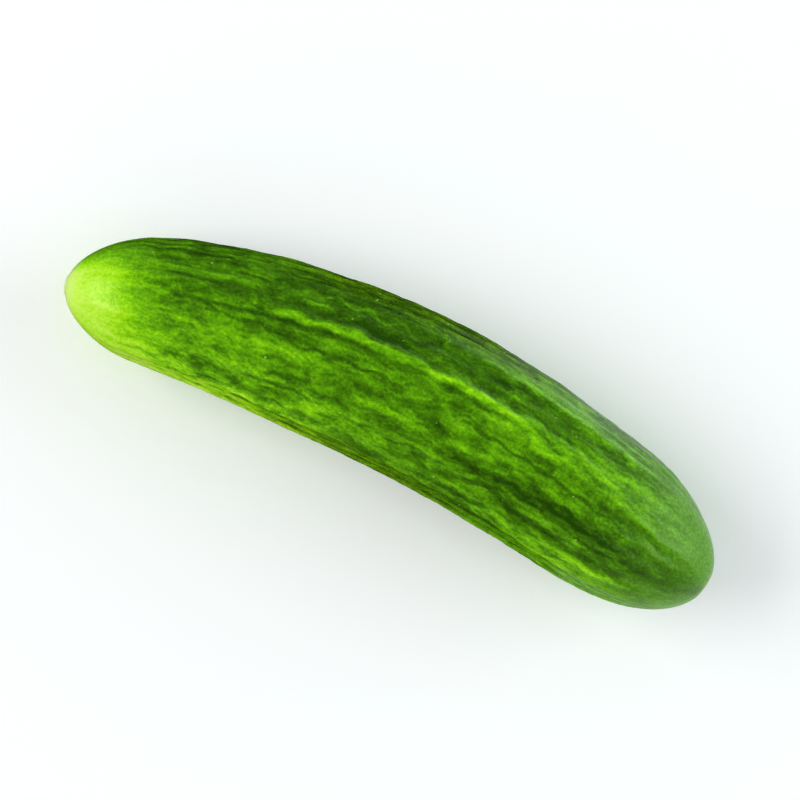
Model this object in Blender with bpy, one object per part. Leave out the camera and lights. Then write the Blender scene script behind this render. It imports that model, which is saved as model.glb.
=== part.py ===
"""A mini cucumber, as picked, lying on its belly.

It is one solid: a fruit with its ribbed and wrinkled skin, its blossom scar and its stem scar. It is swept
along a bowed axis. +X runs from the blossom end to the stem end, the bow swells towards +Y and +Z is up.
The origin is the middle of its footprint, on the surface that it rests on. Lengths are in metres.
"""

import math

import bmesh
import bpy
import numpy as np
from mathutils import Vector

# The whole fruit
LENGTH = 0.130
THICKNESS = 0.0302
RADIUS = THICKNESS / 2
BOW = (0.0086, 0.0007, 0.0, 0.0002)  # how far the axis strays to +Y, as sines of 1 to 4 half waves
BELLY_STRAIGHTNESS = 0.74  # 0 keeps the axis level, 1 lays the whole underside along the surface
FLAT_DEPTH = 0.00032  # how much of the belly the small flat spot takes off

# How the radius runs along the fruit. Distances from an end are shares of the length.
BLOSSOM_ROUNDING = 0.109
BLOSSOM_TAPER = 0.52
BLOSSOM_NARROWING = 0.39
STEM_ROUNDING = 0.222
STEM_BLUNTNESS = 3
STEM_TAPER = 0.51
STEM_NARROWING = 0.178

# The relief of the skin: three carpels, low ribs, and wrinkles that wander along the fruit
CARPELS = 3
CARPEL_SWELL = 0.00028
CARPEL_TURN = 0.6  # radians round the axis
RIBS = 10
RIB_HEIGHT = 0.00022
WRINKLES = 27
WRINKLE_HEIGHT = 0.00028
WRINKLE_SHARPNESS = 1.6
WANDER = math.radians(1.2)  # how far a wrinkle strays to either side
WANDER_WAVES = (9, 38.0, 12)  # how many, most half turns along the fruit, most whole turns around it
PATCH_WAVES = (5, 24.0, 6)  # the same for the patches where wrinkles stand higher or lower
PATCH_LEVEL = 0.62
PATCH_CONTRAST = 0.75
PATCH_LIMITS = (0.15, 1.0)
WAVE_SPREAD = (0.25, 1.0)  # each wave's half turns along the fruit, as shares of the most
SMOOTH_BLOSSOM = (0.03, 0.17)  # the relief grows from nothing to full between these shares of the length
SMOOTH_STEM = (0.02, 0.13)
SMOOTH_BELLY = (0.03, 0.16)  # the same on the underside, as shares of the radius above the lowest line
SEED = 7

# The scars at the two ends, each from its rim to its middle as (share of its radius, rise out of the fruit)
STEM_SCAR_RADIUS = 0.0036
STEM_SCAR = (
    (0.93, 0.00012),
    (0.86, 0.00008),
    (0.74, -0.0006),
    (0.64, -0.0005),
    (0.56, 0.00016),
    (0.28, 0.0001),
)
STEM_SCAR_MIDDLE = 0.00006
BLOSSOM_SCAR_RADIUS = 0.0022
BLOSSOM_SCAR = ((0.94, 0.00016), (0.62, 0.0004))
BLOSSOM_SCAR_MIDDLE = 0.0004
END_ZONE = 0.05  # each scar's edge lies within this share of the length from its end

# The mesh
SIDES = 108
BODY_RINGS = 45
RING_CROWDING = 0.75  # 0 spaces the rings evenly, 1 crowds them towards both ends
HALVINGS = 50
AXIS_STEP = 0.001

# The finish
SKIN_COLOUR = (0.065, 0.215, 0.006, 1.0)
SKIN_ROUGHNESS = 0.38


def clear_scene():
    for obj in list(bpy.data.objects):
        bpy.data.objects.remove(obj)


def smooth_step(value, low, high):
    share = np.clip((value - low) / (high - low), 0.0, 1.0)
    return share * share * (3.0 - 2.0 * share)


def swell(s):
    """The radius as a share of RADIUS, before the ends round off. s runs from 0, blossom, to 1, stem."""
    blossom = 1.0 - BLOSSOM_NARROWING * np.maximum(0.0, 1.0 - s / BLOSSOM_TAPER) ** 2
    stem = 1.0 - STEM_NARROWING * np.maximum(0.0, 1.0 - (1.0 - s) / STEM_TAPER) ** 2
    return blossom * stem


def radius_at(s):
    blossom = 1.0 - np.maximum(0.0, 1.0 - s / BLOSSOM_ROUNDING) ** 2
    stem = 1.0 - np.maximum(0.0, 1.0 - (1.0 - s) / STEM_ROUNDING) ** STEM_BLUNTNESS
    return RADIUS * swell(s) * math.sqrt(blossom * stem)


def axis_point(s):
    """A point of the bowed axis, which dips towards both ends to keep the underside near the surface."""
    bow = sum(height * math.sin(math.pi * (wave + 1) * s) for wave, height in enumerate(BOW))
    dip = BELLY_STRAIGHTNESS * (1.0 - swell(s)) * RADIUS
    return Vector((LENGTH * s, bow, RADIUS - dip))


def axis_frame(s):
    """The axis point with the directions along it, sideways and upwards there."""
    along = (axis_point(s + AXIS_STEP) - axis_point(s - AXIS_STEP)).normalized()
    sideways = Vector((0.0, 0.0, 1.0)).cross(along).normalized()
    return axis_point(s), along, sideways, along.cross(sideways)


def seeded_waves(count, most_along, most_around, rng):
    """Waves of the skin as (half turns along the fruit, whole turns around it, phase, share of the sum)."""
    along = rng.uniform(*WAVE_SPREAD, count) * most_along
    around = rng.integers(-most_around, most_around + 1, count)
    phase = rng.uniform(0.0, 2.0 * math.pi, count)
    share = 1.0 / np.sqrt(along)
    return list(zip(along, around, phase, share / share.sum()))


def wave_sum(waves, s, angle):
    return sum(
        share * np.sin(math.pi * along * s + around * angle + phase) for along, around, phase, share in waves
    )


def relief(s, angle, wander_waves, patch_waves):
    """How far the skin stands out at this angle round the axis: not at all at both ends and on the belly."""
    wandered = angle + WANDER * wave_sum(wander_waves, s, angle)
    carpels = CARPEL_SWELL * np.cos(CARPELS * angle + CARPEL_TURN)
    ribs = RIB_HEIGHT * np.cos(RIBS * wandered)
    crest = (0.5 + 0.5 * np.cos(WRINKLES * wandered)) ** WRINKLE_SHARPNESS
    patch = np.clip(PATCH_LEVEL + PATCH_CONTRAST * wave_sum(patch_waves, s, angle), *PATCH_LIMITS)
    ends = smooth_step(s, *SMOOTH_BLOSSOM) * smooth_step(1.0 - s, *SMOOTH_STEM)
    belly = smooth_step(1.0 + np.sin(angle), *SMOOTH_BELLY)
    return ends * belly * (carpels + ribs + WRINKLE_HEIGHT * crest * patch)


def share_where_radius(radius, low, high):
    """The place between two shares of the length where the body has this radius, by halving."""
    rising = radius_at(high) > radius_at(low)
    for _ in range(HALVINGS):
        middle = (low + high) / 2
        if (radius_at(middle) < radius) == rising:
            low = middle
        else:
            high = middle
    return (low + high) / 2


def body_places(blossom_edge, stem_edge):
    """Shares of the length where the body has a ring: closer together at the ends, where it curves in."""
    turn = np.linspace(0.0, math.pi, BODY_RINGS)
    crowded = (1.0 - np.cos(turn)) / 2
    even = turn / math.pi
    spacing = RING_CROWDING * crowded + (1.0 - RING_CROWDING) * even
    return blossom_edge + (stem_edge - blossom_edge) * spacing


def profile_rings(blossom_edge, stem_edge):
    """Every ring from the blossom scar to the stem scar, as (share of the length, radius, rise)."""
    blossom = [(blossom_edge, share * BLOSSOM_SCAR_RADIUS, rise) for share, rise in reversed(BLOSSOM_SCAR)]
    body = [(s, radius_at(s), 0.0) for s in body_places(blossom_edge, stem_edge)]
    stem = [(stem_edge, share * STEM_SCAR_RADIUS, rise) for share, rise in STEM_SCAR]
    return blossom + body + stem


def ring_points(s, radius, rise, angles, wander_waves, patch_waves):
    centre, along, sideways, up = axis_frame(s)
    outwards = along if s > 0.5 else -along
    heights = radius + relief(s, angles, wander_waves, patch_waves)
    return [
        centre + outwards * rise + (sideways * math.cos(angle) + up * math.sin(angle)) * height
        for angle, height in zip(angles, heights)
    ]


def end_point(s, rise):
    centre, along, _, _ = axis_frame(s)
    return centre + (along if s > 0.5 else -along) * rise


def skin_mesh():
    rng = np.random.default_rng(SEED)
    wander_waves = seeded_waves(*WANDER_WAVES, rng)
    patch_waves = seeded_waves(*PATCH_WAVES, rng)
    angles = np.linspace(0.0, 2.0 * math.pi, SIDES, endpoint=False)
    blossom_edge = share_where_radius(BLOSSOM_SCAR_RADIUS, 0.0, END_ZONE)
    stem_edge = share_where_radius(STEM_SCAR_RADIUS, 1.0 - END_ZONE, 1.0)

    bm = bmesh.new()
    loops = []
    for ring in profile_rings(blossom_edge, stem_edge):
        points = ring_points(*ring, angles, wander_waves, patch_waves)
        loops.append([bm.verts.new(point) for point in points])
    for near, far in zip(loops, loops[1:]):
        for k in range(SIDES):
            after = (k + 1) % SIDES
            bm.faces.new((near[k], far[k], far[after], near[after]))
    blossom = bm.verts.new(end_point(blossom_edge, BLOSSOM_SCAR_MIDDLE))
    stem = bm.verts.new(end_point(stem_edge, STEM_SCAR_MIDDLE))
    for k in range(SIDES):
        after = (k + 1) % SIDES
        bm.faces.new((blossom, loops[0][k], loops[0][after]))
        bm.faces.new((stem, loops[-1][after], loops[-1][k]))
    bmesh.ops.recalc_face_normals(bm, faces=bm.faces)
    rest_on_belly(bm)
    mesh = bpy.data.meshes.new("cucumber")
    bm.to_mesh(mesh)
    bm.free()
    return mesh


def rest_on_belly(bm):
    """Sets the fruit down: its flat spot lies at z = 0, and the middle of its footprint at the origin."""
    lowest = min(vert.co.z for vert in bm.verts)
    for vert in bm.verts:
        vert.co.z = max(0.0, vert.co.z - lowest - FLAT_DEPTH)
    low = Vector(min(vert.co[k] for vert in bm.verts) for k in range(3))
    high = Vector(max(vert.co[k] for vert in bm.verts) for k in range(3))
    middle = (low + high) / 2
    bmesh.ops.translate(bm, verts=bm.verts, vec=(-middle.x, -middle.y, 0.0))


def skin_material():
    material = bpy.data.materials.new("cucumber_skin")
    material.use_nodes = True
    shader = material.node_tree.nodes["Principled BSDF"]
    shader.inputs["Base Color"].default_value = SKIN_COLOUR
    shader.inputs["Roughness"].default_value = SKIN_ROUGHNESS
    shader.inputs["Metallic"].default_value = 0.0
    return material


def build_cucumber():
    mesh = skin_mesh()
    mesh.materials.append(skin_material())
    mesh.shade_smooth()
    cucumber = bpy.data.objects.new("cucumber", mesh)
    bpy.context.scene.collection.objects.link(cucumber)


clear_scene()
build_cucumber()
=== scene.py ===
"""The looks of a mini cucumber, as picked, lying on its belly.

Geometry Nodes grow the skin from the same named sizes as the solid, with a finer relief. They also set the
small corky dots on it and the torn fibres of the stalk in its scar. +X runs from the blossom end to the stem
end, the bow swells towards +Y and +Z is up. Lengths are in metres.

Two numbers tell where something is on the skin. Its share of the length, s, runs from 0 at the blossom end to
1 at the stem end. Its side runs from 1 on the flank towards +Y, over 0 on the back, to -1 on the other flank.
A pair of either, such as (0.56, 0.34), is a fade: nothing at the first of them and full at the second.
"""

import math

import bmesh
import bpy
import numpy as np
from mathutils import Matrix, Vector


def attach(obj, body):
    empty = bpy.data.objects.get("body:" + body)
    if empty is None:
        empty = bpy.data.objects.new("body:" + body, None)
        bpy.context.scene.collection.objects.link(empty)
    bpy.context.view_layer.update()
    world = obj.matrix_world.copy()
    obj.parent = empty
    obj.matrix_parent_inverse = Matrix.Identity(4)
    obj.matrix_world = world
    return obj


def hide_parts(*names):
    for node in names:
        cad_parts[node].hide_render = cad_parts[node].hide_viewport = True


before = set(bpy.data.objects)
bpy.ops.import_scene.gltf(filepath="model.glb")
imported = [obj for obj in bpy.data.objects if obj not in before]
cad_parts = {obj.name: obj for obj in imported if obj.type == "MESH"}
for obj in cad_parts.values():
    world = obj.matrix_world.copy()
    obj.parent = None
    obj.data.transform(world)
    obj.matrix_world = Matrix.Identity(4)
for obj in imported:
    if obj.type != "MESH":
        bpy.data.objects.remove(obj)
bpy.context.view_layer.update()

# The whole fruit
LENGTH = 0.130
THICKNESS = 0.0302
RADIUS = THICKNESS / 2
BOW = (0.0086, 0.0007, 0.0, 0.0002)  # how far the axis strays to +Y, as sines of 1 to 4 half waves
BELLY_STRAIGHTNESS = 0.74  # 0 keeps the axis level, 1 lays the whole underside along the surface
FLAT_DEPTH = 0.00032  # how much of the belly the small flat spot takes off

# How the radius runs along the fruit. Distances from an end are shares of the length.
BLOSSOM_ROUNDING = 0.109
BLOSSOM_TAPER = 0.52
BLOSSOM_NARROWING = 0.39
STEM_ROUNDING = 0.222
STEM_BLUNTNESS = 3
STEM_TAPER = 0.51
STEM_NARROWING = 0.178

# The relief of the skin: three carpels, low ribs, and wrinkles that wander along the fruit
CARPELS = 3
CARPEL_SWELL = 0.00028
CARPEL_TURN = 0.6  # radians round the axis
RIBS = 10
RIB_HEIGHT = 0.00022
WRINKLES = 27
WRINKLE_HEIGHT = 0.00028
WRINKLE_SHARPNESS = 1.6
WANDER = math.radians(1.2)  # how far a wrinkle strays to either side
WANDER_WAVES = (9, 38.0, 12)  # how many, most half turns along the fruit, most whole turns around it
PATCH_WAVES = (5, 24.0, 6)  # the same for the patches where wrinkles stand higher or lower
PATCH_LEVEL = 0.62
PATCH_CONTRAST = 0.75
PATCH_LIMITS = (0.15, 1.0)
WAVE_SPREAD = (0.25, 1.0)  # each wave's half turns along the fruit, as shares of the most
SMOOTH_BLOSSOM = (0.03, 0.17)  # the relief grows from nothing to full between these shares of the length
SMOOTH_STEM = (0.02, 0.13)
SMOOTH_BELLY = (0.03, 0.16)  # the same on the underside, as shares of the radius above the lowest line
SEED = 7

# The scars at the two ends, each from its rim to its middle as (share of its radius, rise out of the fruit)
STEM_SCAR_RADIUS = 0.0036
STEM_SCAR = (
    (1.0, 0.0),
    (0.93, 0.00012),
    (0.86, 0.00008),
    (0.74, -0.0006),
    (0.64, -0.0005),
    (0.56, 0.00016),
    (0.28, 0.0001),
    (0.0, 0.00006),
)
BLOSSOM_SCAR_RADIUS = 0.0022
BLOSSOM_SCAR = ((1.0, 0.0), (0.94, 0.00016), (0.62, 0.0004), (0.0, 0.0004))
END_ZONE = 0.05  # each scar's edge lies within this share of the length from its end
CURVE_PER_METRE = 500  # the curves of the scars run from 0 to 1 for 1 mm down to 1 mm up
HALVINGS = 50
AXIS_STEP = 0.001

# The fine relief that only the looks have. A scale is the number of a noise's cells to the metre.
NET_HEIGHT = 0.00005
LINE_HEIGHT = 0.00008
BLOTCH_HEIGHT = 0.0004
PEBBLE_HEIGHT = 0.00006
PEBBLE_SCALE = 1500.0
LUMP_HEIGHT = 0.0003
LUMP_SCALE = 60.0
FINE_WANDER = math.radians(8.0)  # how far the small bends take a wrinkle aside
FINE_WANDER_SCALE = 210.0
CALM = 0.15  # the share of those bends that is left where the skin is calm
CALM_SCALE = 55.0
CALM_FADE = (0.48, 0.66)

# The marks that both the relief and the colours show: blotches and a loose net, curled and drawn out
CURL_SCALE = 170.0
CURL_REACH = 0.0034
MARK_STRETCH = (0.46, 1.0, 1.0)
BLOTCH_SCALE = 430.0
NET_SCALE = 400.0
NET_SHIFT = (0.3, 0.0, 0.0)  # takes the net from another stretch of noise than the blotches
NET_STRAND = (0.09, 0.0)

# The lines that stand out on the side that faces up: degrees round the axis from the top towards +Y where a
# line starts and where it ends, shares of the length where it starts and ends, its half width in metres, how
# light and raised or, below 0, how dark and sunken it is, and how many degrees it winds to either side
LINES = (
    (18.5, 22.5, 0.28, 0.68, 0.0012, 1.4, 0.8),
    (13.0, 17.0, 0.58, 0.79, 0.0012, 0.8, 1.5),
    (22.0, 20.0, 0.64, 0.83, 0.0034, 0.4, 0.0),
    (33.0, 20.0, 0.71, 0.80, 0.0008, 0.9, 1.0),
    (31.0, 35.0, 0.78, 0.91, 0.0011, 0.7, 1.0),
    (15.0, 8.0, 0.78, 0.93, 0.0010, 0.7, 0.5),
    (45.0, 42.0, 0.33, 0.51, 0.0006, 0.65, 2.6),
    (52.0, 54.5, 0.55, 0.87, 0.0008, 0.7, 0.6),
    (39.0, 36.0, 0.29, 0.38, 0.0007, 0.5, 1.0),
    (-10.0, -5.5, 0.15, 0.40, 0.0014, 0.7, 0.8),
    (-17.0, -16.5, 0.42, 0.57, 0.0009, 0.9, 0.8),
    (-38.0, -30.0, 0.36, 0.48, 0.0020, 0.6, 1.0),
    (-16.0, -7.0, 0.55, 0.81, 0.0009, 0.7, 1.0),
    (-24.0, -29.0, 0.65, 0.85, 0.0008, 0.8, 0.8),
    (-39.0, -30.0, 0.54, 0.65, 0.0008, 0.6, 1.0),
    (-51.0, -43.0, 0.63, 0.90, 0.0012, 0.9, 1.0),
    (-54.0, -62.0, 0.64, 0.86, 0.0010, 0.6, 1.0),
    (9.0, 14.0, 0.15, 0.37, 0.0009, -0.9, 0.8),
    (5.0, 5.0, 0.19, 0.37, 0.0005, -0.5, 1.0),
    (27.0, 32.0, 0.19, 0.50, 0.0022, -0.5, 1.5),
    (-1.0, 5.0, 0.31, 0.50, 0.0005, -0.7, 1.5),
    (10.0, 8.0, 0.50, 0.62, 0.0016, -0.7, 1.0),
    (1.0, -1.0, 0.57, 0.88, 0.0006, -0.8, 0.8),
    (-19.0, -16.5, 0.65, 0.88, 0.0008, -0.9, 1.0),
    (-35.0, -37.0, 0.66, 0.87, 0.0014, -0.7, 0.6),
    (-53.0, -57.0, 0.44, 0.53, 0.0020, -1.0, 0.0),
    (-33.0, -31.0, 0.28, 0.38, 0.0008, -0.7, 1.0),
    (-15.0, -13.0, 0.27, 0.39, 0.0008, -0.7, 1.0),
    (-6.0, -12.0, 0.49, 0.60, 0.0009, -0.7, 1.0),
    (-35.0, -22.0, 0.62, 0.71, 0.0009, -0.7, 1.0),
    (-44.0, -40.0, 0.49, 0.63, 0.0009, -0.7, 1.0),
    (-42.0, -38.0, 0.13, 0.23, 0.0009, -0.5, 1.0),
    (44.0, 46.0, 0.57, 0.69, 0.0014, -0.5, 1.0),
    (43.0, 47.0, 0.09, 0.19, 0.0009, -0.7, 0.5),
    (56.0, 59.0, 0.06, 0.25, 0.0010, -0.6, 0.5),
)
WINDING = 0.045  # the share of the length that one winding of a line takes
LINE_FADE = 0.04  # the share of the length over which a line fades in and out
LINE_CORE = 0.1  # the share of its width where a line is at its strongest
LINE_WOBBLE = 0.0010  # how far the blotches push a line aside

# The mesh of the skin
SIDES = 310
RINGS = 312
STEM_SCAR_RINGS = 26
BLOSSOM_SCAR_RINGS = 12
RING_CROWDING = 0.45

# The tiny corky dots where the young fruit had its spines
SPINE_SCARS_PER_SQUARE_METRE = 9000.0
SPINE_SCAR_GAP = 0.0012
SPINE_SCAR_RADIUS = (0.00009, 0.00022)
SPINE_SCAR_HEIGHT = 0.35  # as a share of its radius
SPINE_SCAR_SIDES = 8
SPINE_SCAR_RINGS = 5
CLEAR_OF_TABLE = (0.0015, 0.0016)  # the heights between which the dots begin
CLEAR_OF_BLOSSOM = (-0.056, -0.0558)  # the same along x at either end
CLEAR_OF_STEM = (0.0615, 0.0613)

# The torn fibres of the stalk
STEM_FIBRES = 16
STEM_FIBRE_CIRCLE = 0.0019
STEM_FIBRE_LENGTH = 0.0006
STEM_FIBRE_THICKNESS = 0.00011
STEM_FIBRE_TIP = 0.3  # the thickness of its tip as a share of its root's
STEM_FIBRE_SIDES = 6
STEM_FIBRE_RINGS = 3
STEM_FIBRE_LEAN = ((-0.7, -0.7, 0.0), (0.7, 0.7, 6.0))  # the least and the most, in radians
STEM_FIBRE_STRETCH = ((0.7, 0.7, 0.3), (1.6, 1.2, 1.0))

# The view. The stem end points this far below the picture's right, and the camera looks straight down.
PICTURE_TURN = math.radians(25.2)
LENS = 100
SENSOR = 36
FRAME_WIDTH = 0.146
NEAREST_SEEN = 0.01

# The table, which sweeps up into a wall
FLOOR_RADIUS = 6.0
SWEEP_RADIUS = 2.0
SWEEP_STEPS = 8
FLOOR_SIDES = 64
WALL_HEIGHT = 3.0
WELD_DISTANCE = 0.0001
WHITE = (1.0, 1.0, 1.0, 1.0)
FLOOR_WHITE = (0.95, 0.95, 0.95, 1.0)
FLOOR_ROUGHNESS = 0.7
FLOOR_GLOW = 0.1

# The lights: how far each stands to the right in the picture, above its middle and over the table, its width
# and height, its watts and its tint
KEY_SOFTBOX = ((-2.0, 0.45, 1.45), (2.0, 1.6), 37.0, (1.0, 0.99, 0.96))
BLOSSOM_CARD = ((-2.3, 0.35, 0.9), (1.2, 1.2), 12.0, (1.0, 0.99, 0.96))
COOL_WINDOW = ((2.29, 0.16, 0.83), (2.1, 1.65), 36.0, (0.84, 0.95, 1.0))
BOUNCE_CARD = ((0.295, 0.0, 0.0005), (0.54, 0.7), 0.34, (0.95, 0.98, 1.0))
BOUNCE_CARDS = 3
BOUNCE_CARD_STEP = (0.012, 0.0, 0.0003)  # from each of them to the next
ROOM_TINT = (0.94, 0.97, 1.0, 1.0)
ROOM_STRENGTH = 0.54


class Wire:
    """A socket of a node tree. Its operators add Math nodes, or Vector Math nodes for vectors."""

    def __init__(self, tree, socket):
        self.tree = tree
        self.socket = socket

    def __add__(self, other):
        return self.tree.maths("ADD", self, other)

    def __radd__(self, other):
        return self.tree.maths("ADD", other, self)

    def __sub__(self, other):
        return self.tree.maths("SUBTRACT", self, other)

    def __rsub__(self, other):
        return self.tree.maths("SUBTRACT", other, self)

    def __mul__(self, other):
        return self.tree.maths("MULTIPLY", self, other)

    def __rmul__(self, other):
        return self.tree.maths("MULTIPLY", self, other)

    def __truediv__(self, other):
        return self.tree.maths("DIVIDE", self, other)

    def __rtruediv__(self, other):
        return self.tree.maths("DIVIDE", other, self)

    def __pow__(self, power):
        return self.tree.maths("POWER", self, power)

    def sine(self):
        return self.tree.maths("SINE", self)

    def cosine(self):
        return self.tree.maths("COSINE", self)

    def size(self):
        return self.tree.maths("ABSOLUTE", self)

    def at_least(self, least):
        return self.tree.maths("MAXIMUM", self, least)

    def at_most(self, most):
        return self.tree.maths("MINIMUM", self, most)

    def within(self, low, high):
        return self.at_least(low).at_most(high)

    def rise(self, low, high):
        """0 at low, 1 at high and a smooth climb between them, also where low lies above high."""
        return self.tree.node(
            "ShaderNodeMapRange", [self, low, high, 0.0, 1.0], {"interpolation_type": "SMOOTHSTEP"}
        )

    def parts(self):
        """A vector's three numbers."""
        node = self.tree.added("ShaderNodeSeparateXYZ", [self])
        return [Wire(self.tree, output) for output in node.outputs]


class Tree:
    """Adds nodes to one node tree."""

    def __init__(self, tree):
        self.tree = tree

    def added(self, kind, values=(), settings=None, stops=None):
        """Adds a node. Settings come first, as they can change which sockets it has, then values."""
        node = self.tree.nodes.new(kind)
        for name, setting in (settings or {}).items():
            setattr(node, name, setting)
        if stops:
            set_stops(node, stops)
        self.fill(node, values)
        return node

    def fill(self, node, values):
        """Gives a node its values, wires or plain ones, in the order of its sockets or by name in a dict."""
        sockets = [socket for socket in node.inputs if socket.enabled]
        if isinstance(values, dict):
            pairs = [(next(s for s in sockets if s.name == name), value) for name, value in values.items()]
        else:
            pairs = zip(sockets, values)
        for socket, value in pairs:
            if isinstance(value, Wire):
                self.tree.links.new(value.socket, socket)
            else:
                socket.default_value = value

    def node(self, kind, values=(), settings=None, out=None, stops=None):
        """Adds a node and returns one of its outputs: the first, or the one named by out."""
        node = self.added(kind, values, settings, stops)
        shown = [socket for socket in node.outputs if socket.enabled]
        return Wire(self, next(socket for socket in shown if out in (None, socket.name)))

    def maths(self, operation, *terms):
        vectors = [term for term in terms if is_vector(term)]
        if not vectors:
            return self.node("ShaderNodeMath", terms, {"operation": operation})
        if operation == "MULTIPLY" and len(vectors) == 1:
            scale = next(term for term in terms if not is_vector(term))
            values = {"Vector": vectors[0], "Scale": scale}
            return self.node("ShaderNodeVectorMath", values, {"operation": "SCALE"})
        return self.node("ShaderNodeVectorMath", terms, {"operation": operation})

    def vector(self, x, y, z):
        return self.node("ShaderNodeCombineXYZ", [x, y, z])

    def mixed(self, share, first, second):
        """A colour between two colours."""
        return self.node("ShaderNodeMix", [share, first, second], {"data_type": "RGBA"})

    def noise(self, place, scale, detail=2.0, roughness=0.5, out="Fac"):
        values = {"Vector": place, "Scale": scale, "Detail": detail, "Roughness": roughness}
        return self.node("ShaderNodeTexNoise", values, out=out)


def is_vector(term):
    if isinstance(term, Wire):
        return term.socket.type in ("VECTOR", "RGBA")
    return isinstance(term, (tuple, Vector))


def set_stops(node, stops):
    """Gives a colour ramp its stops, or a float curve its points."""
    if node.bl_idname == "ShaderNodeFloatCurve":
        points = node.mapping.curves[0].points
        while len(points) < len(stops):
            points.new(0.5, 0.5)
        for point, (x, y) in zip(points, stops):
            point.location = (x, y)
            point.handle_type = "AUTO_CLAMPED"
        node.mapping.update()
        return
    elements = node.color_ramp.elements
    while len(elements) < len(stops):
        elements.new(0.5)
    for element, (place, shade) in zip(elements, stops):
        element.position = place
        element.color = shade


def total(wires):
    first, *rest = wires
    for wire in rest:
        first = first + wire
    return first


def colour(red, green, blue):
    """A colour given as the eye reads it on a screen, 0 to 255, in the linear numbers that shaders take."""
    def linear(value):
        share = value / 255
        return share / 12.92 if share <= 0.04045 else ((share + 0.055) / 1.055) ** 2.4
    return (linear(red), linear(green), linear(blue), 1.0)


# The fruit's shape, in wires and in plain numbers

def swell(s):
    """The radius as a share of RADIUS, before the ends round off."""
    blossom = 1.0 - BLOSSOM_NARROWING * (1.0 - s / BLOSSOM_TAPER).at_least(0.0) ** 2
    stem = 1.0 - STEM_NARROWING * (1.0 - (1.0 - s) / STEM_TAPER).at_least(0.0) ** 2
    return blossom * stem


def seeded_waves(count, most_along, most_around, rng):
    """Waves of the skin as (half turns along the fruit, whole turns around it, phase, share of the sum)."""
    along = rng.uniform(*WAVE_SPREAD, count) * most_along
    around = rng.integers(-most_around, most_around + 1, count)
    phase = rng.uniform(0.0, 2.0 * math.pi, count)
    share = 1.0 / np.sqrt(along)
    share = share / share.sum()
    return [tuple(map(float, wave)) for wave in zip(along, around, phase, share)]


def wave_sum(waves, s, angle):
    return total(
        share * (math.pi * along * s + around * angle + phase).sine() for along, around, phase, share in waves
    )


rng = np.random.default_rng(SEED)
wander_waves = seeded_waves(*WANDER_WAVES, rng)
patch_waves = seeded_waves(*PATCH_WAVES, rng)


def plain_radius(s):
    """The body's radius as a plain number."""
    blossom_swell = 1.0 - BLOSSOM_NARROWING * max(0.0, 1.0 - s / BLOSSOM_TAPER) ** 2
    stem_swell = 1.0 - STEM_NARROWING * max(0.0, 1.0 - (1.0 - s) / STEM_TAPER) ** 2
    blossom = 1.0 - max(0.0, 1.0 - s / BLOSSOM_ROUNDING) ** 2
    stem = 1.0 - max(0.0, 1.0 - (1.0 - s) / STEM_ROUNDING) ** STEM_BLUNTNESS
    return RADIUS * blossom_swell * stem_swell * math.sqrt(blossom * stem)


def share_where_radius(radius, low, high):
    """The place between two shares of the length where the body has this radius, by halving."""
    rising = plain_radius(high) > plain_radius(low)
    for _ in range(HALVINGS):
        middle = (low + high) / 2
        if (plain_radius(middle) < radius) == rising:
            low = middle
        else:
            high = middle
    return (low + high) / 2


BLOSSOM_EDGE = share_where_radius(BLOSSOM_SCAR_RADIUS, 0.0, END_ZONE)
STEM_EDGE = share_where_radius(STEM_SCAR_RADIUS, 1.0 - END_ZONE, 1.0)


def scar_rise(tree, share, outline):
    """How far a scar stands out of the fruit's end, at a share of its radius."""
    points = sorted((place, 0.5 + rise * CURVE_PER_METRE) for place, rise in outline)
    return (tree.node("ShaderNodeFloatCurve", [1.0, share], stops=points) - 0.5) / CURVE_PER_METRE


def skin_signals(tree, s, place):
    """What the relief and the colours share, as a dict of wires.

    turn: the angle round the axis. crest: 1 on the crest of a wrinkle, 0 in its furrow. bent: the place,
    curled and drawn out for the marks. blotch: lighter, raised marks above 0 and darker, sunken ones below.
    net: 1 on the strands of a loose net. lines: the sum of LINES, above 0 light and raised, below 0 dark and
    sunken.
    """
    _, across, up = place.parts()
    turn = tree.maths("ARCTAN2", up, across)
    curl = (tree.noise(place, CURL_SCALE, detail=2.5, out="Color") - (0.5, 0.5, 0.5)) * CURL_REACH
    bent = place * MARK_STRETCH + curl
    blotch = tree.noise(bent, BLOTCH_SCALE, detail=2.5, roughness=0.6) - 0.5
    contour = (tree.noise(bent + NET_SHIFT, NET_SCALE, detail=1.0) - 0.5).size()
    wound = (s * (2.0 * math.pi / WINDING)).sine()
    return {
        "turn": turn,
        "crest": 0.5 + 0.5 * (turn * WRINKLES).cosine(),
        "bent": bent,
        "blotch": blotch,
        "net": contour.rise(*NET_STRAND),
        "lines": total(drawn_line(s, turn, wound, blotch, *line) for line in LINES),
    }


def drawn_line(s, turn, wound, blotch, first, last, start, end, width, strength, winding):
    """One of LINES: its strength on the line, and 0 away from it."""
    slant = math.radians(last - first) / (end - start)
    middle = math.pi / 2 - math.radians(first) + slant * start
    here = turn + slant * s + wound * math.radians(winding)
    away = (here - middle).size() * RADIUS + blotch * LINE_WOBBLE
    across = away.rise(width, width * LINE_CORE)
    return across * s.rise(start, start + LINE_FADE) * s.rise(end, end - LINE_FADE) * strength


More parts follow.
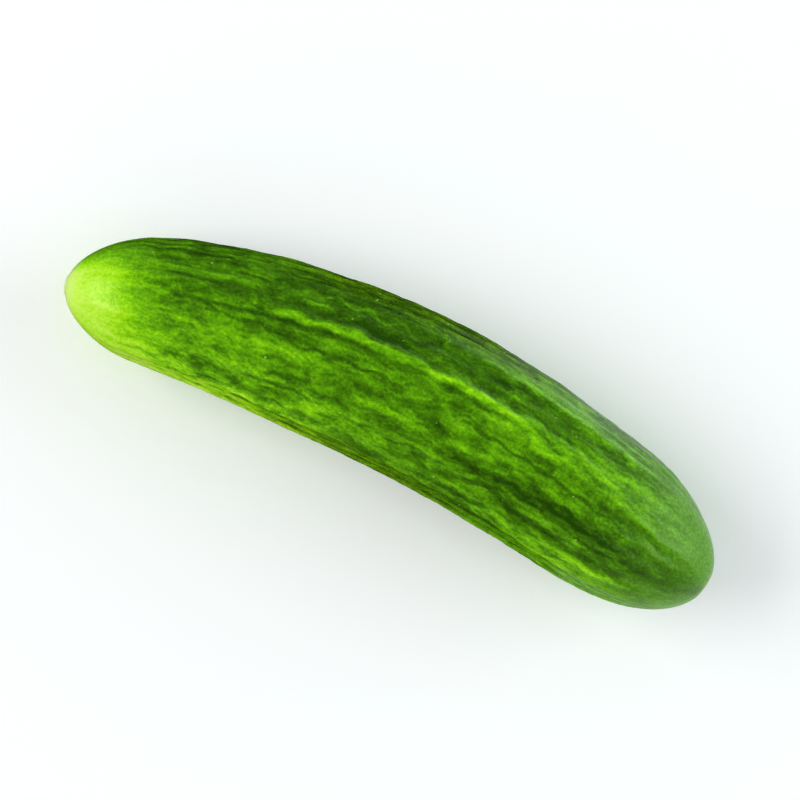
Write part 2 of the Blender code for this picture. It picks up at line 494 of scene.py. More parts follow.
def ring_places(tree, size):
    """Where a point of the ball goes: its angle round the axis, its shares of both scars' radii, and s.

    A share is 0 at the middle of its scar and 1 from the edge on.
    """
    x, y, z = tree.node("GeometryNodeInputPosition").parts()
    angle = tree.maths("ARCTAN2", y, x) - math.pi / 2
    ring = tree.maths("ARCTAN2", (x * x + y * y) ** 0.5, z) * size["Rings"] / math.pi
    in_blossom_scar = (ring / BLOSSOM_SCAR_RINGS).at_most(1.0)
    in_stem_scar = ((size["Rings"] - ring) / STEM_SCAR_RINGS).at_most(1.0)
    body = size["Rings"] - (BLOSSOM_SCAR_RINGS + STEM_SCAR_RINGS)
    even = ((ring - BLOSSOM_SCAR_RINGS) / body).within(0.0, 1.0)
    crowded = 0.5 - 0.5 * (even * math.pi).cosine()
    spacing = RING_CROWDING * crowded + (1.0 - RING_CROWDING) * even
    return angle, in_blossom_scar, in_stem_scar, BLOSSOM_EDGE + (STEM_EDGE - BLOSSOM_EDGE) * spacing


def axis_point(tree, size, s):
    """A point of the bowed axis, which dips towards both ends to keep the underside near the table."""
    bow = total(height * (s * (math.pi * (wave + 1))).sine() for wave, height in enumerate(BOW))
    dip = size["Belly straightness"] * (1.0 - swell(s)) * size["Radius"]
    return tree.vector(size["Length"] * s, bow, size["Radius"] - dip)


def axis_frame(tree, size, s):
    """The axis point with the directions along it, sideways and upwards there."""
    def unit(vector):
        return tree.node("ShaderNodeVectorMath", [vector], {"operation": "NORMALIZE"})

    along = unit(axis_point(tree, size, s + AXIS_STEP) - axis_point(tree, size, s - AXIS_STEP))
    sideways = unit(tree.maths("CROSS_PRODUCT", (0.0, 0.0, 1.0), along))
    return axis_point(tree, size, s), along, sideways, tree.maths("CROSS_PRODUCT", along, sideways)


def body_radius(size, s):
    blossom = 1.0 - (1.0 - s / BLOSSOM_ROUNDING).at_least(0.0) ** 2
    stem = 1.0 - (1.0 - (1.0 - s) / STEM_ROUNDING).at_least(0.0) ** STEM_BLUNTNESS
    return size["Radius"] * swell(s) * (blossom * stem) ** 0.5


def skin_relief(tree, size, s, angle, radius):
    """How far the skin stands out, and the place where its marks are looked up.

    The marks are laid out on a straight tube, by how far along the surface they are and by their angle.
    """
    run = size["Length"] * s + (RADIUS - radius) * tree.maths("SIGN", s - 0.5)
    straight = tree.vector(run, angle.cosine() * RADIUS, angle.sine() * RADIUS)
    restless = CALM + (1.0 - CALM) * tree.noise(straight, CALM_SCALE, detail=0.0).rise(*CALM_FADE)
    small_bends = (tree.noise(straight, FINE_WANDER_SCALE, detail=1.5) - 0.5) * restless
    wandered = angle + size["Wander"] * wave_sum(wander_waves, s, angle) + size["Fine wander"] * small_bends
    place = tree.vector(run, wandered.cosine() * RADIUS, wandered.sine() * RADIUS)
    signals = skin_signals(tree, s, place)
    carpels = size["Carpel swell"] * (CARPELS * angle + CARPEL_TURN).cosine()
    ribs = size["Rib height"] * (RIBS * wandered).cosine()
    patch = (PATCH_LEVEL + PATCH_CONTRAST * wave_sum(patch_waves, s, signals["turn"])).within(*PATCH_LIMITS)
    wrinkles = size["Wrinkle height"] * signals["crest"] ** WRINKLE_SHARPNESS * patch
    fine = total((
        size["Net height"] * signals["net"],
        size["Pebble height"] * tree.noise(straight, PEBBLE_SCALE),
        size["Line height"] * signals["lines"],
    ))
    lumps = size["Lump height"] * (tree.noise(straight, LUMP_SCALE, detail=1.0) - 0.5)
    lumps = lumps + size["Blotch height"] * signals["blotch"]
    ends = s.rise(*SMOOTH_BLOSSOM) * (1.0 - s).rise(*SMOOTH_STEM)
    belly = (1.0 + angle.sine()).rise(*SMOOTH_BELLY)
    return ends * belly * (carpels + ribs + wrinkles + fine + lumps), place


def stored(tree, geometry, name, value, data_type="FLOAT_VECTOR", domain="POINT"):
    return tree.node(
        "GeometryNodeStoreNamedAttribute",
        {"Geometry": geometry, "Name": name, "Value": value},
        {"data_type": data_type, "domain": domain},
    )


def set_down(tree, geometry, flat_depth):
    """Lays the flat spot of the belly at z = 0, and the middle of the footprint at the origin."""
    box = tree.added("GeometryNodeBoundBox", [geometry])
    low, high = Wire(tree, box.outputs["Min"]), Wire(tree, box.outputs["Max"])
    middle_x, middle_y, _ = ((low + high) * 0.5).parts()
    _, _, lowest = low.parts()
    x, y, z = tree.node("GeometryNodeInputPosition").parts()
    lying = tree.vector(x - middle_x, y - middle_y, (z - lowest - flat_depth).at_least(0.0))
    return tree.node("GeometryNodeSetPosition", {"Geometry": geometry, "Position": lying})


def grow_skin(material):
    """The skin as one closed mesh, swept round the bowed axis with its relief, and its scars at the poles."""
    sizes = {
        "Length": LENGTH,
        "Radius": RADIUS,
        "Belly straightness": BELLY_STRAIGHTNESS,
        "Flat depth": FLAT_DEPTH,
        "Carpel swell": CARPEL_SWELL,
        "Rib height": RIB_HEIGHT,
        "Wrinkle height": WRINKLE_HEIGHT,
        "Wander": WANDER,
        "Net height": NET_HEIGHT,
        "Line height": LINE_HEIGHT,
        "Blotch height": BLOTCH_HEIGHT,
        "Fine wander": FINE_WANDER,
        "Pebble height": PEBBLE_HEIGHT,
        "Lump height": LUMP_HEIGHT,
    }
    tree, size = new_tree("cucumber_skin", numbers=sizes, counts=("Sides", "Rings"))
    ball = tree.added("GeometryNodeMeshUVSphere", [size["Sides"], size["Rings"], 1.0])
    angle, in_blossom_scar, in_stem_scar, s = ring_places(tree, size)
    radius = body_radius(size, s)
    relief, place = skin_relief(tree, size, s, angle, radius)
    height = (radius + relief) * in_blossom_scar * in_stem_scar
    rise = scar_rise(tree, in_stem_scar, STEM_SCAR) - scar_rise(tree, in_blossom_scar, BLOSSOM_SCAR)
    centre, along, sideways, up = axis_frame(tree, size, s)
    point = centre + along * rise + (sideways * angle.cosine() + up * angle.sine()) * height

    # Fields read the positions of the mesh that they are used on, so what the finish reads is stored first.
    swept = stored(tree, Wire(tree, ball.outputs["Mesh"]), "skin_place", place)
    swept = stored(tree, swept, "scar_place", tree.vector(in_blossom_scar, in_stem_scar, s))
    swept = stored(tree, swept, "OFBake", Wire(tree, ball.outputs["UV Map"]), "FLOAT2", "CORNER")
    swept = tree.node("GeometryNodeSetPosition", {"Geometry": swept, "Position": point})
    lying = set_down(tree, swept, size["Flat depth"])
    values = {**sizes, "Sides": SIDES, "Rings": RINGS}
    return finished_by_nodes("cucumber_skin", tree, lying, material, values)


def finished_by_nodes(name, tree, geometry, material, values, start=None):
    """Ends a geometry tree, runs it with these input values and returns an object with the plain mesh."""
    real = tree.node("GeometryNodeRealizeInstances", [geometry])
    smooth = tree.node("GeometryNodeSetShadeSmooth", {"Geometry": real, "Shade Smooth": True})
    dressed = tree.node("GeometryNodeSetMaterial", {"Geometry": smooth, "Material": material})
    output = tree.tree.nodes.new("NodeGroupOutput")
    tree.tree.links.new(dressed.socket, output.inputs[0])

    piece = bpy.data.objects.new(name, start or bpy.data.meshes.new(name + "_start"))
    bpy.context.scene.collection.objects.link(piece)
    modifier = piece.modifiers.new(name, "NODES")
    modifier.node_group = tree.tree
    for item in tree.tree.interface.items_tree:
        if item.in_out == "INPUT" and item.name in values:
            modifier[item.identifier] = values[item.name]
    depsgraph = bpy.context.evaluated_depsgraph_get()
    mesh = bpy.data.meshes.new_from_object(
        piece.evaluated_get(depsgraph), preserve_all_data_layers=True, depsgraph=depsgraph
    )
    piece.modifiers.clear()
    piece.data = mesh
    mesh.name = name
    return piece


def new_tree(name, numbers=(), counts=(), vectors=(), geometry=False):
    """A geometry tree with these named inputs, and one for a mesh if asked for, and their wires by name."""
    group = bpy.data.node_groups.new(name, "GeometryNodeTree")
    group.interface.new_socket("Geometry", in_out="OUTPUT", socket_type="NodeSocketGeometry")
    if geometry:
        group.interface.new_socket("Geometry", in_out="INPUT", socket_type="NodeSocketGeometry")
    for kind, labels in (("Float", numbers), ("Int", counts), ("Vector", vectors)):
        for label in labels:
            group.interface.new_socket(label, in_out="INPUT", socket_type="NodeSocket" + kind)
    tree = Tree(group)
    given = tree.added("NodeGroupInput")
    return tree, {socket.name: Wire(tree, socket) for socket in given.outputs if socket.name}


def scatter_spine_scars(skin, material):
    """Small flattened domes, half sunk into the skin, clear of both ends and of the table."""
    sizes = {
        "Density": SPINE_SCARS_PER_SQUARE_METRE,
        "Gap": SPINE_SCAR_GAP,
        "Smallest": SPINE_SCAR_RADIUS[0],
        "Largest": SPINE_SCAR_RADIUS[1],
        "Height": SPINE_SCAR_HEIGHT,
    }
    tree, size = new_tree("spine_scars", numbers=sizes, counts=("Seed",), geometry=True)
    x, _, z = tree.node("GeometryNodeInputPosition").parts()
    clear = z.rise(*CLEAR_OF_TABLE) * x.rise(*CLEAR_OF_BLOSSOM) * x.rise(*CLEAR_OF_STEM)
    spots = tree.added(
        "GeometryNodeDistributePointsOnFaces",
        {
            "Mesh": size["Geometry"],
            "Selection": clear,
            "Distance Min": size["Gap"],
            "Density Max": size["Density"],
            "Seed": size["Seed"],
        },
        {"distribute_method": "POISSON"},
    )
    ball = tree.node("GeometryNodeMeshUVSphere", [SPINE_SCAR_SIDES, SPINE_SCAR_RINGS, 1.0])
    flat = tree.vector(1.0, 1.0, size["Height"])
    dome = tree.node("GeometryNodeTransform", {"Geometry": ball, "Scale": flat})
    radius = tree.node(
        "FunctionNodeRandomValue",
        {"Min": size["Smallest"], "Max": size["Largest"], "Seed": size["Seed"]},
        {"data_type": "FLOAT"},
    )
    domes = tree.node(
        "GeometryNodeInstanceOnPoints",
        {
            "Points": Wire(tree, spots.outputs["Points"]),
            "Instance": dome,
            "Rotation": Wire(tree, spots.outputs["Rotation"]),
            "Scale": tree.vector(radius, radius, radius),
        },
    )
    values = {**sizes, "Seed": SEED}
    return finished_by_nodes("spine_scars", tree, domes, material, values, start=skin.data.copy())


def grow_stem_fibres(skin, material):
    """The torn ends of the stalk's fibres, in a ring on the stub in the stem scar."""
    end = skin.data.vertices[-1]
    sizes = {"Circle": STEM_FIBRE_CIRCLE, "Length": STEM_FIBRE_LENGTH, "Thickness": STEM_FIBRE_THICKNESS}
    tree, size = new_tree("stem_fibres", numbers=sizes, counts=("Count", "Seed"), vectors=("Place", "Facing"))
    circle = tree.node("GeometryNodeMeshCircle", {"Vertices": size["Count"], "Radius": size["Circle"]})
    spike = tree.node(
        "GeometryNodeMeshCone",
        {
            "Vertices": STEM_FIBRE_SIDES,
            "Side Segments": STEM_FIBRE_RINGS,
            "Radius Top": size["Thickness"] * STEM_FIBRE_TIP,
            "Radius Bottom": size["Thickness"],
            "Depth": size["Length"],
        },
        out="Mesh",
    )
    lean, stretch = (
        tree.node(
            "FunctionNodeRandomValue",
            {"Min": least, "Max": most, "Seed": size["Seed"]},
            {"data_type": "FLOAT_VECTOR"},
        )
        for least, most in (STEM_FIBRE_LEAN, STEM_FIBRE_STRETCH)
    )
    spikes = tree.node(
        "GeometryNodeInstanceOnPoints",
        {"Points": circle, "Instance": spike, "Rotation": lean, "Scale": stretch},
    )
    facing = tree.node("FunctionNodeAlignRotationToVector", {"Vector": size["Facing"]}, {"axis": "Z"})
    placed = tree.node(
        "GeometryNodeTransform", {"Geometry": spikes, "Translation": size["Place"], "Rotation": facing}
    )
    values = {**sizes, "Count": STEM_FIBRES, "Seed": SEED, "Place": end.co, "Facing": end.normal}
    return finished_by_nodes("stem_fibres", tree, placed, material, values)


def new_material(name):
    """A material, its node tree and the shader in it."""
    material = bpy.data.materials.new(name)
    material.use_nodes = True
    return material, Tree(material.node_tree), material.node_tree.nodes["Principled BSDF"]


# The corky finishes: their darkest and lightest colour, and the scale of their mottle
SPINE_SCAR_CORK = ((104, 150, 48), (180, 210, 116), 900.0)
DRY_FIBRE = ((150, 120, 60), (214, 202, 140), 2500.0)
CORK_MOTTLE_FADE = (0.3, 0.7)
CORK_ROUGHNESS = (0.3, 0.3)  # the least, and how much the mottle adds


def corky_material(name, dark, light, scale):
    """A dry, corky finish between two colours."""
    material, tree, shader = new_material(name)
    mottle = tree.noise(tree.node("ShaderNodeTexCoord", out="Object"), scale, detail=3.0)
    cork = tree.mixed(mottle.rise(*CORK_MOTTLE_FADE), colour(*dark), colour(*light))
    least, added = CORK_ROUGHNESS
    tree.fill(shader, {"Base Color": cork, "Roughness": least + added * mottle})
    return material


# How the skin reads in the picture, from the darkest furrow to the blossom end's pale point
SKIN_TONES = (
    (0.00, (34, 74, 0)),
    (0.12, (48, 92, 2)),
    (0.28, (64, 117, 0)),
    (0.36, (75, 135, 0)),
    (0.44, (87, 152, 0)),
    (0.60, (115, 190, 0)),
    (0.72, (142, 218, 2)),
    (0.84, (172, 240, 14)),
    (1.00, (206, 252, 84)),
)
TONE_SPAN = 1.4  # the tone that reaches the last of them
MIDDLE_TONE = 0.495  # the tone of the plain skin
SKIN_SHADE = 0.92  # the skin's own colour as a share of how it reads, as the lights are a little strong

# The noises of the marks: how much they are drawn out along the fruit, scale, detail and roughness
BANDS = (0.35, 160.0, 1.0, 0.5)
FIBRES = (0.7, 820.0, 2.5, 0.6)
CREST_PATCHES = (0.5, 300.0, 1.5, 0.5)
# where the furrows of the wrinkles get painted shade
FURROW_SHADE_PATCHES = (0.6, 330.0, 2.0, 0.5)
NET_PATCHES = (0.5, 170.0, 1.5, 0.5)
CREST_PATCH_FADE = (0.46, 0.68)
FURROW_SHADE_FADE = (0.46, 0.66)
NET_PATCH_FADE = (0.36, 0.60)
GRAIN = (1800.0, 2.0, 0.7)  # it isn't drawn out

# How much each of the marks counts in the tone
BAND_TONE = 0.75
BLOTCH_TONE = 0.9
FIBRE_TONE = 0.85
GRAIN_TONE = 0.7
LINE_TONE = 0.37  # for the next four together
# Wrinkle crests are lighter, partly their own lighter green and partly painted light; their furrows are
# darker with painted shade
CREST_TINT_AND_LIGHT_TONE = 0.8
FURROW_SHADE_TONE = 0.64
DRAWN_LINE_TONE = 1.2
NET_TONE = 0.35
CREST_SHARPNESS = 4.0
NET_MIDDLE = 0.3  # the strength of the net where it leaves the tone as it is
BEADS = (0.8, 1.4, 1.2)  # a line breaks up into beads: its level, and how fibres and blotches change it
BEAD_LIMITS = (0.2, 1.5)
GLARE = 0.18  # a mark that is lighter than this glares
GLARE_CUT = 0.4  # the share that is taken off what it has above that

# Both ends are plainer: what is left of the marks there, and where they fade in along the fruit
PLAIN_STEM = (0.25, (0.97, 0.84))
PLAIN_BLOSSOM = (0.2, (0.04, 0.18))

# Where the marks show more or, below 0, less: by what part, fades of the side, fades of s
MARK_ZONES = (
    (-0.5, ((-0.2, 0.1),), ((0.80, 0.90),)),
    (0.35, ((-0.1, -0.6),), ((0.5, 0.3), (0.12, 0.22))),
)

# Where the skin is lighter or, below 0, darker: by how much, fades of the side, fades of s
TONE_ZONES = (
    (0.20, ((0.1, -0.8),), ((0.56, 0.34), (0.04, 0.22))),
    (0.27, ((-0.6, -0.95),), ((0.05, 0.15), (0.36, 0.24))),
    (0.09, ((-0.3, 0.35),), ((0.64, 0.84),)),
    # The next row is painted light bounced up from the table, lightening the flank towards -Y by the stem end
    (0.26, ((-0.45, -0.9),), ((0.64, 0.84),)),
    (-0.10, ((-0.6, -0.35), (0.0, -0.2)), ((0.64, 0.84),)),
)
FAR_FLANK_DARKER = 0.08  # so much darker is the flank towards +Y by the blossom end, and the other lighter
FAR_FLANK_FADE = (0.66, 0.42)

# The lime of the blossom end, and where it is shorter or, below 0, longer, and where fainter
LIME_TONE = 0.80
LIME_FADE = (0.20, 0.05)
LIME_RAGGEDNESS = 0.08
LIME_SHORTER = ((0.018, (-0.5, 0.35)), (-0.010, (-0.3, -0.7)))  # by what share of the length, by which side
LIME_FAINTER = ((0.7, (0.3, 0.95)), (0.16, (-0.15, -0.9)))  # by what part, by which side
# The pale tip is partly the tip's own pale colour and partly a painted highlight
TIP_TONE = 0.25
TIP_FADE = (0.05, 0.0)

# The two tints over the tone: cream at the blossom end's tip, part pale skin and part painted highlight, and
# a painted olive reflection and shade along both flanks of the middle
CREAM_AND_HIGHLIGHT = (224, 240, 170)
CREAM_AND_HIGHLIGHT_SHARE = 0.5
CREAM_AND_HIGHLIGHT_FADE = (0.03, 0.0)
PAINTED_RIM_TINT = (1.14, 0.78, 1.0)
PAINTED_RIM_SHARE = 0.7
PAINTED_RIM_SIDES = (0.75, 1.0)
PAINTED_RIM_SHARES = ((0.2, 0.4), (0.75, 0.55))

# The scars' colours. A fade runs between two shares of the scar's radius.
SCAR_MOTTLE_SCALE = 900.0
SCAR_RAGGEDNESS = 0.5
SCAR_RAGGED_FADE = (1.0, 0.92)
STEM_RUN = LENGTH * STEM_EDGE + RADIUS - STEM_SCAR_RADIUS  # where the stem scar begins, along the surface
COLLAR_WIDTH = 0.0016  # a yellowish collar round the stem scar
COLLAR_RAGGEDNESS = 0.002
COLLAR = (128, 158, 52)
CORK = (150, 138, 78)
CORK_FADE = (0.98, 0.84)
PIT = (92, 78, 36)
PIT_SHARE = 0.6
PIT_FADE = (0.78, 0.68)
STUB = ((164, 184, 92), (208, 218, 142))
STUB_MOTTLE = 2.2
STUB_FADE = (0.63, 0.57)
STUB_MIDDLE = (126, 96, 52)
STUB_MIDDLE_SHARE = 0.8
STUB_MIDDLE_FADE = (0.24, 0.06)
VESSELS = 7  # they show as faint darker spots in a ring on the stub of the stalk
VESSEL = (132, 118, 58)
VESSEL_SHARE = 0.35
VESSEL_RAGGEDNESS = 3.0
VESSEL_EDGE = (0.35, 0.8)  # where a spot begins and is full on a wave round the stub, from 0 to 1
VESSEL_RING = ((0.22, 0.30), (0.46, 0.38))
BLOSSOM_CORK = ((196, 206, 128), (222, 226, 168))
BLOSSOM_MOTTLE = 2.0
BLOSSOM_FADE = (0.98, 0.78)
BLOSSOM_MIDDLE = (158, 126, 78)
BLOSSOM_MIDDLE_SHARE = 0.8
BLOSSOM_MIDDLE_FADE = (0.36, 0.08)

# The sheen of the waxy skin, and the relief that is too fine for the mesh
SHEEN_ROUGHNESS = (0.19, 0.14)  # the least, and how much the noise adds
SHEEN_SCALE = 700.0
STEM_END_ROUGHNESS = (0.12, (0.74, 0.90))
STEM_SCAR_ROUGHNESS = (0.2, (0.98, 0.88))
SHEEN_LEVEL = 0.42
SHEEN_TINT = (0.82, 1.0, 0.5, 1.0)
BUMP_DISTANCE = 0.001
BUMP_BLOTCH = 0.05
BUMP_FIBRES = 0.04
BUMP_NET = 0.012
BUMP_GRAIN = 0.03


def drawn_out_noise(tree, where, stretch, scale, detail, roughness):
    return tree.noise(where * (stretch, 1.0, 1.0), scale, detail, roughness)


def zone(side, s, strength, sides, shares):
    """A strength that fades in and out by the side and by the share of the length."""
    for fade in sides:
        strength = side.rise(*fade) * strength
    for fade in shares:
        strength = s.rise(*fade) * strength
    return strength


def lime_of_the_blossom_end(side, s, bands):
    """How far it lifts the tone, with a ragged edge, and less on the flanks."""
    reach = s + bands * LIME_RAGGEDNESS
    for shift, fade in LIME_SHORTER:
        reach = reach + shift * side.rise(*fade)
    lime = LIME_TONE * reach.rise(*LIME_FADE)
    for part, fade in LIME_FAINTER:
        lime = lime * (1.0 - part * side.rise(*fade))
    # The pale tip added here is partly its own colour and partly a painted highlight
    return lime + TIP_TONE * s.rise(*TIP_FADE)


def light_and_dark_marks(tree, place, signals, bands, fibres):
    """The marks as one tone: above 0 lighter than the plain skin, below 0 darker."""
    bent, crest, blotch = signals["bent"], signals["crest"], signals["blotch"]
    crests = drawn_out_noise(tree, bent, *CREST_PATCHES).rise(*CREST_PATCH_FADE)
    furrow_shade = drawn_out_noise(tree, bent, *FURROW_SHADE_PATCHES).rise(*FURROW_SHADE_FADE)
    netted = drawn_out_noise(tree, place, *NET_PATCHES).rise(*NET_PATCH_FADE)
    level, by_fibres, by_blotches = BEADS
    beads = (level + by_fibres * fibres + by_blotches * blotch).within(*BEAD_LIMITS)
    lines = total((
        # lighter crests: partly their own lighter green, partly painted light
        crest ** CREST_SHARPNESS * crests * CREST_TINT_AND_LIGHT_TONE,
        # darker furrows: painted shade
        (1.0 - crest) ** CREST_SHARPNESS * furrow_shade * -FURROW_SHADE_TONE,
        signals["lines"] * beads * DRAWN_LINE_TONE,
        (signals["net"] - NET_MIDDLE) * netted * NET_TONE,
    ))
    marks = bands * BAND_TONE + blotch * BLOTCH_TONE + lines * LINE_TONE + fibres * FIBRE_TONE
    return marks - (marks - GLARE).at_least(0.0) * GLARE_CUT


def how_marked(side, s):
    """How much of the marks shows: less at both ends, and at the stem end least towards +Y."""
    marked = 1.0
    for least, fade in (PLAIN_STEM, PLAIN_BLOSSOM):
        marked = (least + (1.0 - least) * s.rise(*fade)) * marked
    for row in MARK_ZONES:
        marked = marked * (1.0 + zone(side, s, *row))
    return marked


def with_scars(tree, skin, here, run, turn, in_stem_scar, in_blossom_scar):
    """The colour of the skin with the two scars laid over it."""
    mottle = tree.noise(here, SCAR_MOTTLE_SCALE, detail=3.0) - 0.5
    stem, blossom = (
        inside + mottle * SCAR_RAGGEDNESS * inside.rise(*SCAR_RAGGED_FADE)
        for inside in (in_stem_scar, in_blossom_scar)
    )
    collar = (run + mottle * COLLAR_RAGGEDNESS).rise(STEM_RUN - COLLAR_WIDTH, STEM_RUN)
    skin = tree.mixed(collar, skin, colour(*COLLAR))
    skin = tree.mixed(stem.rise(*CORK_FADE), skin, colour(*CORK))
    skin = tree.mixed(stem.rise(*PIT_FADE) * PIT_SHARE, skin, colour(*PIT))

    dark, light = STUB
    stub = tree.mixed((0.5 + mottle * STUB_MOTTLE).within(0.0, 1.0), colour(*dark), colour(*light))
    vessels = (0.5 + 0.5 * (turn * VESSELS + mottle * VESSEL_RAGGEDNESS).cosine()).rise(*VESSEL_EDGE)
    for fade in VESSEL_RING:
        vessels = vessels * stem.rise(*fade)
    stub = tree.mixed(vessels * VESSEL_SHARE, stub, colour(*VESSEL))
    stub = tree.mixed(stem.rise(*STUB_MIDDLE_FADE) * STUB_MIDDLE_SHARE, stub, colour(*STUB_MIDDLE))
    skin = tree.mixed(stem.rise(*STUB_FADE), skin, stub)

    dark, light = BLOSSOM_CORK
    pale = tree.mixed((0.5 + mottle * BLOSSOM_MOTTLE).within(0.0, 1.0), colour(*dark), colour(*light))
    middle = blossom.rise(*BLOSSOM_MIDDLE_FADE) * BLOSSOM_MIDDLE_SHARE
    skin = tree.mixed(blossom.rise(*BLOSSOM_FADE), skin, pale)
    return tree.mixed(middle, skin, colour(*BLOSSOM_MIDDLE))


def skin_material():
    """Waxy skin with light and dark marks, a lime blossom end and corky scars."""
    material, tree, shader = new_material("waxy_skin")
    here = tree.node("ShaderNodeTexCoord", out="Object")
    place = tree.node("ShaderNodeAttribute", settings={"attribute_name": "skin_place"}, out="Vector")
    scars = tree.node("ShaderNodeAttribute", settings={"attribute_name": "scar_place"}, out="Vector")
    run, across, _ = place.parts()
    in_blossom_scar, in_stem_scar, s = scars.parts()
    side = across / RADIUS
    signals = skin_signals(tree, s, place)
    bands = drawn_out_noise(tree, signals["bent"], *BANDS) - 0.5
    fibres = drawn_out_noise(tree, signals["bent"], *FIBRES) - 0.5
    grain = tree.noise(here, *GRAIN) - 0.5
    marked = how_marked(side, s)

    tone = total((
        MIDDLE_TONE + lime_of_the_blossom_end(side, s, bands),
        *(zone(side, s, *row) for row in TONE_ZONES),
        side * s.rise(*FAR_FLANK_FADE) * -FAR_FLANK_DARKER,
        light_and_dark_marks(tree, place, signals, bands, fibres) * marked,
        grain * GRAIN_TONE,
    ))
    stops = [(at, colour(*shown_as)) for at, shown_as in SKIN_TONES]
    skin = tree.node("ShaderNodeValToRGB", [tone / TONE_SPAN], stops=stops, out="Color") * SKIN_SHADE
    # The cream at the tip is partly its own pale colour and partly a painted highlight
    skin = tree.mixed(s.rise(*CREAM_AND_HIGHLIGHT_FADE) * CREAM_AND_HIGHLIGHT_SHARE, skin, colour(*CREAM_AND_HIGHLIGHT))
    # A painted olive reflection and shade along both flanks of the middle, where the skin turns away
    painted_rim = PAINTED_RIM_SHARE * side.size().rise(*PAINTED_RIM_SIDES)
    for fade in PAINTED_RIM_SHARES:
        painted_rim = painted_rim * s.rise(*fade)
    skin = tree.mixed(painted_rim, skin, skin * PAINTED_RIM_TINT)
    skin = with_scars(tree, skin, here, run, signals["turn"], in_stem_scar, in_blossom_scar)

    least, added = SHEEN_ROUGHNESS
    roughness = least + added * tree.noise(here, SHEEN_SCALE, detail=3.0)
    for position, (rougher, fade) in ((s, STEM_END_ROUGHNESS), (in_stem_scar, STEM_SCAR_ROUGHNESS)):
        roughness = roughness + rougher * position.rise(*fade)
    marks = signals["blotch"] * BUMP_BLOTCH + fibres * BUMP_FIBRES + signals["net"] * BUMP_NET
    height = marks * marked + grain * BUMP_GRAIN
    bump = tree.node("ShaderNodeBump", {"Strength": 1.0, "Distance": BUMP_DISTANCE, "Height": height})
    values = {"Base Color": skin, "Roughness": roughness, "Normal": bump}
    tree.fill(shader, {**values, "Specular IOR Level": SHEEN_LEVEL, "Specular Tint": SHEEN_TINT})
    return material


def table_material():
    material, tree, shader = new_material("white_table")
    values = {"Base Color": FLOOR_WHITE, "Roughness": FLOOR_ROUGHNESS}
    tree.fill(shader, {**values, "Emission Color": WHITE, "Emission Strength": FLOOR_GLOW})
    return material


def make_floor():
    """A pale table that sweeps up into a wall far away, so that no edge shows behind the fruit."""
    profile = [(0.0, 0.0)]
    for step in range(SWEEP_STEPS + 1):
        turn = math.pi / 2 * step / SWEEP_STEPS
        out = FLOOR_RADIUS + SWEEP_RADIUS * math.sin(turn)
        profile.append((out, SWEEP_RADIUS * (1.0 - math.cos(turn))))
    profile.append((FLOOR_RADIUS + SWEEP_RADIUS, WALL_HEIGHT))
    bm = bmesh.new()
    points = [bm.verts.new((out, 0.0, height)) for out, height in profile]
    edges = [bm.edges.new(pair) for pair in zip(points, points[1:])]
    bmesh.ops.spin(
        bm, geom=points + edges, cent=(0, 0, 0), axis=(0, 0, 1), angle=2 * math.pi, steps=FLOOR_SIDES
    )
    bmesh.ops.remove_doubles(bm, verts=bm.verts, dist=WELD_DISTANCE)
    bmesh.ops.recalc_face_normals(bm, faces=bm.faces)
    bm.normal_update()
    if min(bm.faces, key=lambda face: face.calc_center_median().length).normal.z < 0.0:
        bmesh.ops.reverse_faces(bm, faces=bm.faces)
    mesh = bpy.data.meshes.new("floor")
    bm.to_mesh(mesh)
    bm.free()
    mesh.shade_smooth()
    mesh.materials.append(table_material())
    floor = bpy.data.objects.new("floor", mesh)
    bpy.context.scene.collection.objects.link(floor)
    floor.visible_glossy = False


def from_picture(right, up, height):
    """A world point given by where it lies in the picture, in metres from the middle, and its height."""
    c, s = math.cos(PICTURE_TURN), math.sin(PICTURE_TURN)
    return Vector((right * c - up * s, right * s + up * c, height))


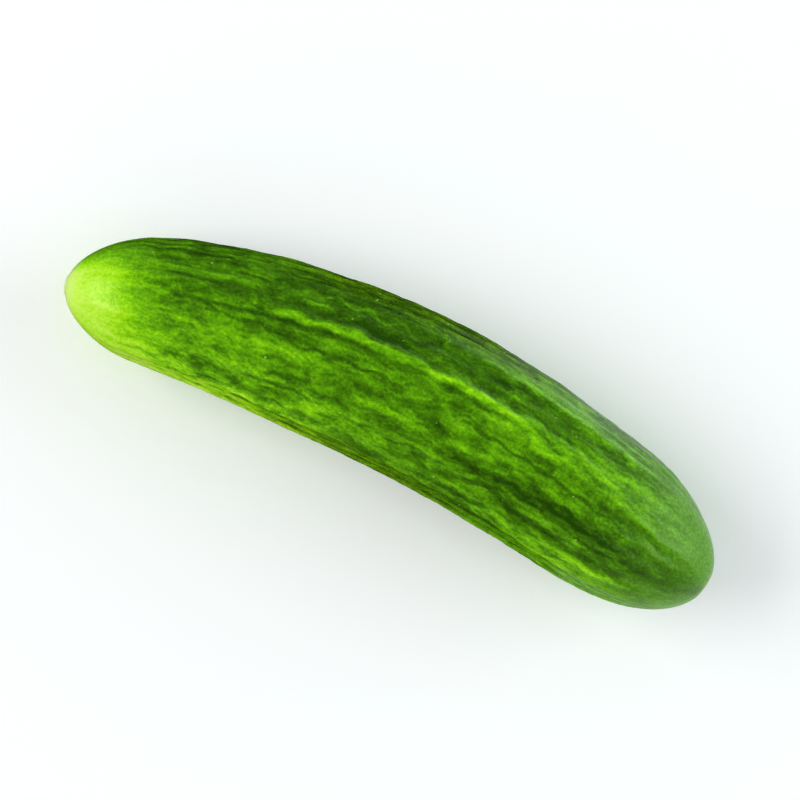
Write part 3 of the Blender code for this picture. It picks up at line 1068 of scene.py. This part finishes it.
def area_light(name, place, size, power, tint):
    """A soft light at a place in the picture, aimed at the fruit."""
    data = bpy.data.lights.new(name, "AREA")
    data.shape = "RECTANGLE"
    data.size, data.size_y = size
    data.energy = power
    data.color = tint
    light = bpy.data.objects.new(name, data)
    light.location = from_picture(*place)
    light.rotation_euler = (-light.location).to_track_quat("-Z", "Y").to_euler()
    bpy.context.scene.collection.objects.link(light)
    return light


def make_lights():
    key = area_light("key_softbox", *KEY_SOFTBOX)
    key.visible_glossy = False
    # The next two stand low beyond the ends, so their sheen begins only where the skin rounds off there.
    card = area_light("blossom_card", *BLOSSOM_CARD)
    card.visible_diffuse = False
    area_light("cool_window", *COOL_WINDOW)
    # White cards lie on the table by the stem end, facing up, and show in the steep skin there, as the table
    # itself would. They lie over one another, so that what shows of them fades in.
    first, *look = BOUNCE_CARD
    for step in range(BOUNCE_CARDS):
        place = [start + shift * step for start, shift in zip(first, BOUNCE_CARD_STEP)]
        bounce = area_light("bounce_card", place, *look)
        bounce.rotation_euler = (math.pi, 0.0, PICTURE_TURN)
        bounce.visible_diffuse = False
        bounce.visible_camera = False


def make_room():
    """The soft light of the room, which the skin doesn't mirror."""
    world = bpy.data.worlds.new("soft_room")
    world.use_nodes = True
    background = world.node_tree.nodes["Background"]
    background.inputs["Color"].default_value = ROOM_TINT
    background.inputs["Strength"].default_value = ROOM_STRENGTH
    world.cycles_visibility.glossy = False
    bpy.context.scene.world = world
    bpy.context.scene.view_settings.view_transform = "Standard"


def make_camera():
    data = bpy.data.cameras.new("camera")
    data.lens = LENS
    data.sensor_width = SENSOR
    data.clip_start = NEAREST_SEEN
    camera = bpy.data.objects.new("camera", data)
    camera.location = (0.0, 0.0, RADIUS + FRAME_WIDTH * LENS / SENSOR)
    camera.rotation_euler = (0.0, 0.0, PICTURE_TURN)
    bpy.context.scene.collection.objects.link(camera)
    bpy.context.scene.camera = camera


skin = grow_skin(skin_material())
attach(skin, "root")
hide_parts("cucumber")
spine_scars = scatter_spine_scars(skin, corky_material("spine_scar_cork", *SPINE_SCAR_CORK))
stem_fibres = grow_stem_fibres(skin, corky_material("dry_fibre", *DRY_FIBRE))
for piece in (spine_scars, stem_fibres):
    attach(piece, "root")
make_floor()
make_lights()
make_room()
make_camera()
